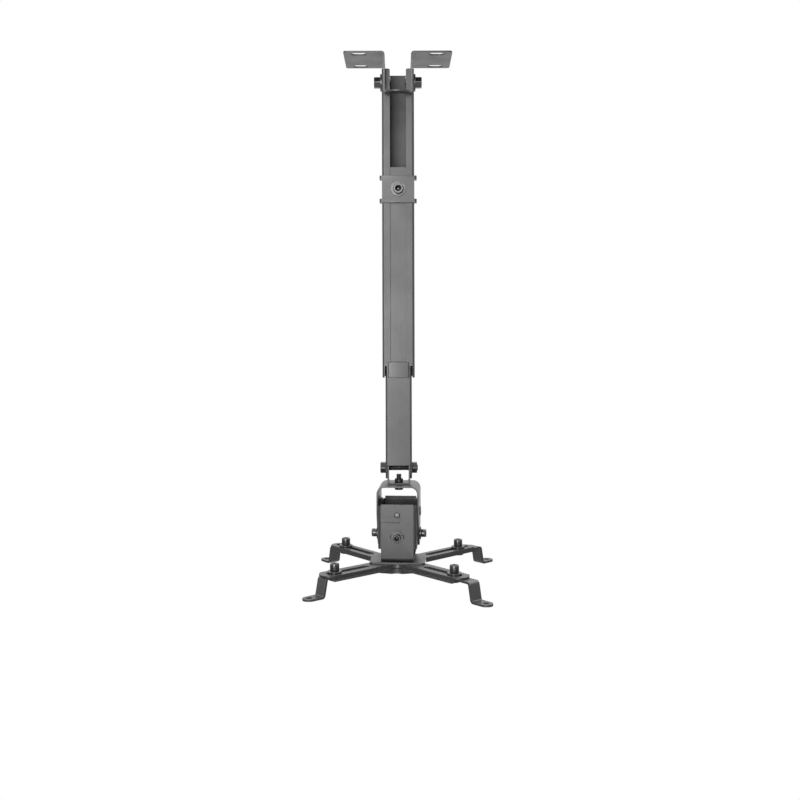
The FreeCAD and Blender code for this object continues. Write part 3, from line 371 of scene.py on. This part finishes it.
def fastener_piece(node, name, axes, draw):
    """Draws one fastener for each solid of a node and stands them in for it. Each solid
    takes the one of the axes that points most towards where it lies."""
    work = bmesh.new()
    for points in solids_of(node):
        middle = sum(points, Vector()) / len(points)
        axis = max(axes, key=lambda direction: direction.dot(middle))
        draw(work, Seat(points, axis))
    bmesh.ops.recalc_face_normals(work, faces=work.faces)
    mesh = bpy.data.meshes.new(name)
    work.to_mesh(mesh)
    work.free()
    keep_piece(mesh, name, node, BLACKENED_STEEL)
    mesh.shade_smooth()
    mesh.set_sharp_from_angle(angle=SHARP)


def cap_screw(shank, pitch, socket):
    """Knurled head, hexagon socket with a drilled floor, and threaded shank."""
    def draw(work, seat):
        head = (seat.high - seat.shoulder) / MM
        length = (seat.shoulder - seat.low) / MM
        radius = seat.outside

        def knurl(angle):
            return radius - KNURL * (round(angle / (2 * math.pi) * STEPS) % 2)

        floor = head * SOCKET_FLOOR
        drilled = floor - (socket / 2 - DRILL_FLAT) * DRILL_SLOPE
        lathe = Lathe(STEPS)
        add_thread(lathe, shank / 2, pitch, -length, -0.4)
        lathe.profile(
            (shank / 2, 0),
            (radius - 0.35, 0),
            (radius - 0.1, 0.25),
            (knurl, 0.5),
            (knurl, head * 0.82),
            (radius - 0.12, head * 0.88),
            (radius - 0.3, head - 0.2),
            (radius - 0.6, head),
            (socket / 2 * SOCKET_MOUTH, head),
            (hexagon(socket), head - 0.35),
            (hexagon(socket), floor),
            (DRILL_FLAT, drilled),
            (CENTRE, drilled),
        )
        lathe.add_to(work, seat.matrix(seat.shoulder))
    return draw


def hex_bolt(shank, pitch, spin):
    """spin turns the hexagon about the axis, in degrees."""
    def draw(work, seat):
        head = (seat.high - seat.shoulder) / MM
        length = (seat.shoulder - seat.low) / MM
        across = seat.outside * math.sqrt(3)
        side = hexagon(across, HEX_CORNER)
        lathe = Lathe(STEPS)
        add_thread(lathe, shank / 2, pitch, -length, -0.6)
        lathe.profile(
            (shank / 2, 0),
            (side, 0),
            (side, chamfered(across, head)),
            (across / 2 * HEX_FACE, head),
            (across / 2 * 0.8, head - 0.15),
            (CENTRE, head - 0.15),
        )
        lathe.add_to(work, seat.matrix(seat.shoulder, spin))
    return draw


def hex_nut(spin):
    """Both faces stop a hair short, so that the nut slides freely on the sheet it holds."""
    def draw(work, seat):
        height = (seat.high - seat.low) / MM
        across, bore = seat.outside * math.sqrt(3), seat.inside
        side, rim = hexagon(across, HEX_CORNER), chamfered(across, height - HAIR)
        lathe = Lathe(STEPS)
        lathe.profile(
            (bore + 0.35, HAIR),
            (across / 2 * HEX_FACE, HAIR),
            (side, lambda angle: height - rim(angle)),
            (side, rim),
            (across / 2 * HEX_FACE, height - HAIR),
            (bore + 0.35, height - HAIR),
            (bore, height - 0.35),
            (bore, 0.35),
        )
        lathe.add_to(work, seat.matrix(seat.low, spin), closed=True)
    return draw


def plain_washer(work, seat):
    """A flat ring with its four edges broken."""
    height = (seat.high - seat.low) / MM
    inside, outside = seat.inside, seat.outside
    edge = min(0.2, height / 4)
    lathe = Lathe(WASHER_STEPS)
    lathe.profile(
        (inside, edge),
        (inside + edge, 0),
        (outside - edge, 0),
        (outside, edge),
        (outside, height - edge),
        (outside - edge, height),
        (inside + edge, height),
        (inside, height - edge),
    )
    lathe.add_to(work, seat.matrix(seat.low), closed=True)


def rivet_pin(shank, head_thick):
    """A pin riveted into the sheet behind it, with a crowned head or a rounded end."""
    def draw(work, seat):
        length = (seat.high - seat.low) / MM
        wide, head = shank / 2 + 0.6, seat.outside
        lathe = Lathe(PIN_STEPS)
        lathe.profile(
            (CENTRE, 0.15),
            (wide - 0.5, 0),
            (wide, 0.3),
            (wide, COLLAR),
            (shank / 2, COLLAR),
        )
        if head_thick:
            lathe.profile(
                (shank / 2, length - head_thick),
                (head - 0.15, length - head_thick),
                (head, length - head_thick * 0.8),
                (head, length - head_thick * 0.55),
                (head - 0.25, length - head_thick * 0.25),
                (head * 0.8, length - head_thick * 0.08),
                (head * 0.45, length),
            )
        else:
            lathe.profile(
                (shank / 2, length - 0.55),
                (shank / 2 - 0.12, length - 0.25),
                (shank / 2 - 0.4, length - 0.06),
                (shank / 2 - 0.8, length),
            )
        lathe.ring(CENTRE, length)
        lathe.add_to(work, seat.matrix(seat.low))
    return draw


# Camera, floor and lamps

def add_camera():
    """Focal length, shift and the slight roll follow the photograph's perspective."""
    data = bpy.data.cameras.new("photo_camera")
    data.sensor_width = 36.0
    data.lens = 46.8
    data.shift_x = 0.0019
    data.shift_y = -0.1
    data.clip_start = 0.01
    camera = bpy.data.objects.new("photo_camera", data)
    bpy.context.scene.collection.objects.link(camera)
    place = Matrix.Translation((0.0, -1.0, -0.251))
    roll = Matrix.Rotation(math.radians(0.155), 4, "Y")
    level = Matrix.Rotation(math.radians(90), 4, "X")
    camera.matrix_world = place @ roll @ level
    bpy.context.scene.camera = camera


def add_softbox(name, location, target, size, radiance):
    """A soft lamp of even brightness; radiance is what a mirror would show of it."""
    data = bpy.data.lights.new(name, "AREA")
    data.shape = "RECTANGLE"
    data.size, data.size_y = size
    data.energy = radiance * math.pi * size[0] * size[1]
    lamp = bpy.data.objects.new(name, data)
    bpy.context.scene.collection.objects.link(lamp)
    lamp.visible_camera = False
    lamp.location = location
    aim = Vector(target) - Vector(location)
    lamp.rotation_euler = aim.to_track_quat("-Z", "Y").to_euler()


def backdrop_rays(tree):
    """One for rays that show the background: seen directly, mirrored or let through."""
    path = add_node(tree, "ShaderNodeLightPath", (-1000, 0))
    first = add_node(tree, "ShaderNodeMath", (-800, 0), operation="MAXIMUM")
    second = add_node(tree, "ShaderNodeMath", (-600, 0), operation="MAXIMUM")
    tree.links.new(path.outputs["Is Camera Ray"], first.inputs[0])
    tree.links.new(path.outputs["Is Glossy Ray"], first.inputs[1])
    tree.links.new(first.outputs["Value"], second.inputs[0])
    tree.links.new(path.outputs["Is Transmission Ray"], second.inputs[1])
    return second.outputs["Value"]


def white_world(fill):
    """White where it is seen directly or in reflection, and a plain fill elsewhere."""
    world = bpy.data.worlds.new("studio")
    world.use_nodes = True
    tree = world.node_tree
    background = tree.nodes["Background"]
    background.inputs["Color"].default_value = WHITE
    strength = mapped(tree, backdrop_rays(tree), fill, 1.0, (-300, 0))
    tree.links.new(strength, background.inputs["Strength"])
    bpy.context.scene.world = world


def add_floor():
    """Pale under the mount, where its shadow falls, and plain white farther out."""
    mesh = bpy.data.meshes.new("studio_floor")
    half = 6.0
    mesh.from_pydata([(x, y, FLOOR_LEVEL) for x, y in
                      ((-half, -half), (half, -half), (half, half), (-half, half))],
                     [], [(0, 1, 2, 3)])
    material = bpy.data.materials.new("pale_floor")
    material.use_nodes = True
    tree = material.node_tree
    shader = tree.nodes["Principled BSDF"]
    shader.inputs["Base Color"].default_value = (0.9, 0.9, 0.9, 1.0)
    shader.inputs["Roughness"].default_value = 0.8
    white = add_node(tree, "ShaderNodeEmission", (0, -300))
    white.inputs["Color"].default_value = WHITE
    place = add_node(tree, "ShaderNodeTexCoord", (-1400, -400))
    flat = add_node(tree, "ShaderNodeVectorMath", (-1200, -400), operation="MULTIPLY")
    flat.inputs[1].default_value = (1.0, 1.0, 0.0)
    away = add_node(tree, "ShaderNodeVectorMath", (-1000, -400), operation="LENGTH")
    tree.links.new(place.outputs["Object"], flat.inputs[0])
    tree.links.new(flat.outputs["Vector"], away.inputs[0])
    share = mapped(tree, away.outputs["Value"], 0.45, 1.0, (-800, -400), start=0.2, end=0.6)
    shown = add_node(tree, "ShaderNodeMath", (-300, -200), operation="MULTIPLY")
    tree.links.new(backdrop_rays(tree), shown.inputs[0])
    tree.links.new(share, shown.inputs[1])
    both = add_node(tree, "ShaderNodeMixShader", (200, 0))
    tree.links.new(shown.outputs["Value"], both.inputs["Fac"])
    tree.links.new(shader.outputs["BSDF"], both.inputs[1])
    tree.links.new(white.outputs["Emission"], both.inputs[2])
    tree.links.new(both.outputs["Shader"], tree.nodes["Material Output"].inputs["Surface"])
    mesh.materials.append(material)
    floor = bpy.data.objects.new("studio_floor", mesh)
    bpy.context.scene.collection.objects.link(floor)


def add_dark_reflection_sheets(grey):
    """Low faintly glowing grey sheets left and right of the mount, seen only in reflections and casting no shadow:
    they paint dark reflections on the slanted arms, so that these stay dark against the white."""
    front, back, top = -1.2, 0.6, -0.52
    for name, x in (("left_dark_reflection_sheet", -0.75), ("right_dark_reflection_sheet", 0.75)):
        mesh = bpy.data.meshes.new(name)
        mesh.from_pydata([(x, y, z) for y, z in
                          ((front, FLOOR_LEVEL), (back, FLOOR_LEVEL), (back, top), (front, top))],
                         [], [(0, 1, 2, 3)])
        material = bpy.data.materials.new("painted_dark_reflection")
        material.use_nodes = True
        tree = material.node_tree
        tree.nodes.remove(tree.nodes["Principled BSDF"])
        # faint grey glow, seen only as a painted dark reflection on the mount
        glow = add_node(tree, "ShaderNodeEmission", (0, 0))
        glow.inputs["Color"].default_value = (grey, grey, grey, 1.0)
        surface = tree.nodes["Material Output"].inputs["Surface"]
        tree.links.new(glow.outputs["Emission"], surface)
        mesh.materials.append(material)
        reflection_sheet = bpy.data.objects.new(name, mesh)
        bpy.context.scene.collection.objects.link(reflection_sheet)
        for ray in ("camera", "diffuse", "transmission", "shadow", "volume_scatter"):
            setattr(reflection_sheet, "visible_" + ray, False)


add_camera()
white_world(fill=0.08)
# reflection-only grey sheets that paint dark reflections on the arms
add_dark_reflection_sheets(grey=0.12)
add_floor()
add_softbox("front_softbox", (-0.37, -1.85, -0.12), (0, 0, -0.22), (0.72, 1.15), 12.0)
add_softbox("top_softbox", (0.0, -0.2, 1.1), (0, 0, -0.3), (0.8, 0.8), 1.0)
add_softbox("left_softbox", (-1.3, 0.2, 1.0), (0, 0, -0.25), (0.9, 0.9), 6.0)
add_softbox("right_softbox", (1.3, 0.2, 1.0), (0, 0, -0.25), (0.9, 0.9), 5.0)
add_softbox("rear_softbox", (0.4, 1.3, 1.2), (0, 0, -0.25), (1.0, 1.0), 6.0)
bpy.context.scene.view_settings.view_transform = "Standard"


# Sheet steel parts

CORNERS = ("front_left", "front_right", "rear_left", "rear_right")

# the channel's inner faces get the darker coat, painted shade of the recess
paint_recess_shade_in_channel(softened_sheet("outer_channel", "channel_pole"), wall=1.5)
for node, name in (
    ("ceiling_hanger", "hanger_strip"),
    ("end_stop", "stop_plate"),
    ("inner_tube", "sliding_tube_skin"),
    ("clamp_plate", "clamp_saddle"),
    ("pivot_fork", "fork_strip"),
    ("tilt_yoke", "yoke_strip"),
    ("tilt_block", "block_ring"),
    ("projector_box", "box_strip"),
    ("front_spider", "front_arms"),
    ("rear_spider", "rear_arms"),
):
    softened_sheet(node, name)
for corner in CORNERS:
    softened_sheet("foot_" + corner, "pad_strap_" + corner)
softened_sheet("clamp_nut", "square_nut_plate", BLACKENED_STEEL)


# Pins, screws, nuts and washers

LEFT, RIGHT = Vector((-1, 0, 0)), Vector((1, 0, 0))
FRONT = Vector((0, -1, 0))
UP, DOWN = Vector((0, 0, 1)), Vector((0, 0, -1))
SIDE = JOINT_AXIS["pitch"].normalized()
ROLL = JOINT_AXIS["roll"].normalized()
SIDES, ENDS = (-SIDE, SIDE), (-ROLL, ROLL)
M5, M6 = (5, 0.8), (6, 1.0)     # shank and pitch
PIN_SHANK = 5.2

fastener_piece("top_bolts", "top_hex_bolts", (LEFT, RIGHT), hex_bolt(*M6, spin=30))
fastener_piece("top_washers", "top_plain_washers", (LEFT, RIGHT), plain_washer)
fastener_piece("top_nuts", "top_hex_nuts", (LEFT, RIGHT), hex_nut(spin=0))
fastener_piece("clamp_screw", "clamp_cap_screw", (FRONT,), cap_screw(*M6, socket=5))
fastener_piece("clamp_washer", "clamp_plain_washer", (FRONT,), plain_washer)
fastener_piece("pivot_bolt", "pivot_hex_bolt", (LEFT,), hex_bolt(*M6, spin=30))
fastener_piece("pivot_nut", "pivot_hex_nut", (RIGHT,), hex_nut(spin=30))
fastener_piece("swivel_bolt", "swivel_hex_bolt", (DOWN,), hex_bolt(*M5, spin=0))
fastener_piece("swivel_washer", "swivel_plain_washer", (DOWN,), plain_washer)
fastener_piece("swivel_nut", "swivel_hex_nut", (UP,), hex_nut(spin=0))
for row, ways, head_thick in (("side", SIDES, 1.3), ("roll", ENDS, 0.0)):
    fastener_piece(row + "_pins", row + "_rivet_pins", ways,
                   rivet_pin(PIN_SHANK, head_thick))
    fastener_piece(row + "_screws", row + "_cap_screws", ways, cap_screw(*M5, socket=4))
    fastener_piece(row + "_washers", row + "_plain_washers", ways, plain_washer)
    fastener_piece(row + "_nuts", row + "_hex_nuts", ways, hex_nut(spin=0))
fastener_piece("hub_screws", "hub_cap_screws", (UP,), cap_screw(*M5, socket=4))
fastener_piece("hub_nuts", "hub_hex_nuts", (DOWN,), hex_nut(spin=0))
for corner in CORNERS:
    fastener_piece("foot_bolt_" + corner, "arm_cap_screw_" + corner, (UP,),
                   cap_screw(*M6, socket=4))
    fastener_piece("foot_washer_" + corner, "arm_washer_" + corner, (UP,), plain_washer)
    fastener_piece("foot_nut_" + corner, "arm_nut_" + corner, (DOWN,), hex_nut(spin=0))
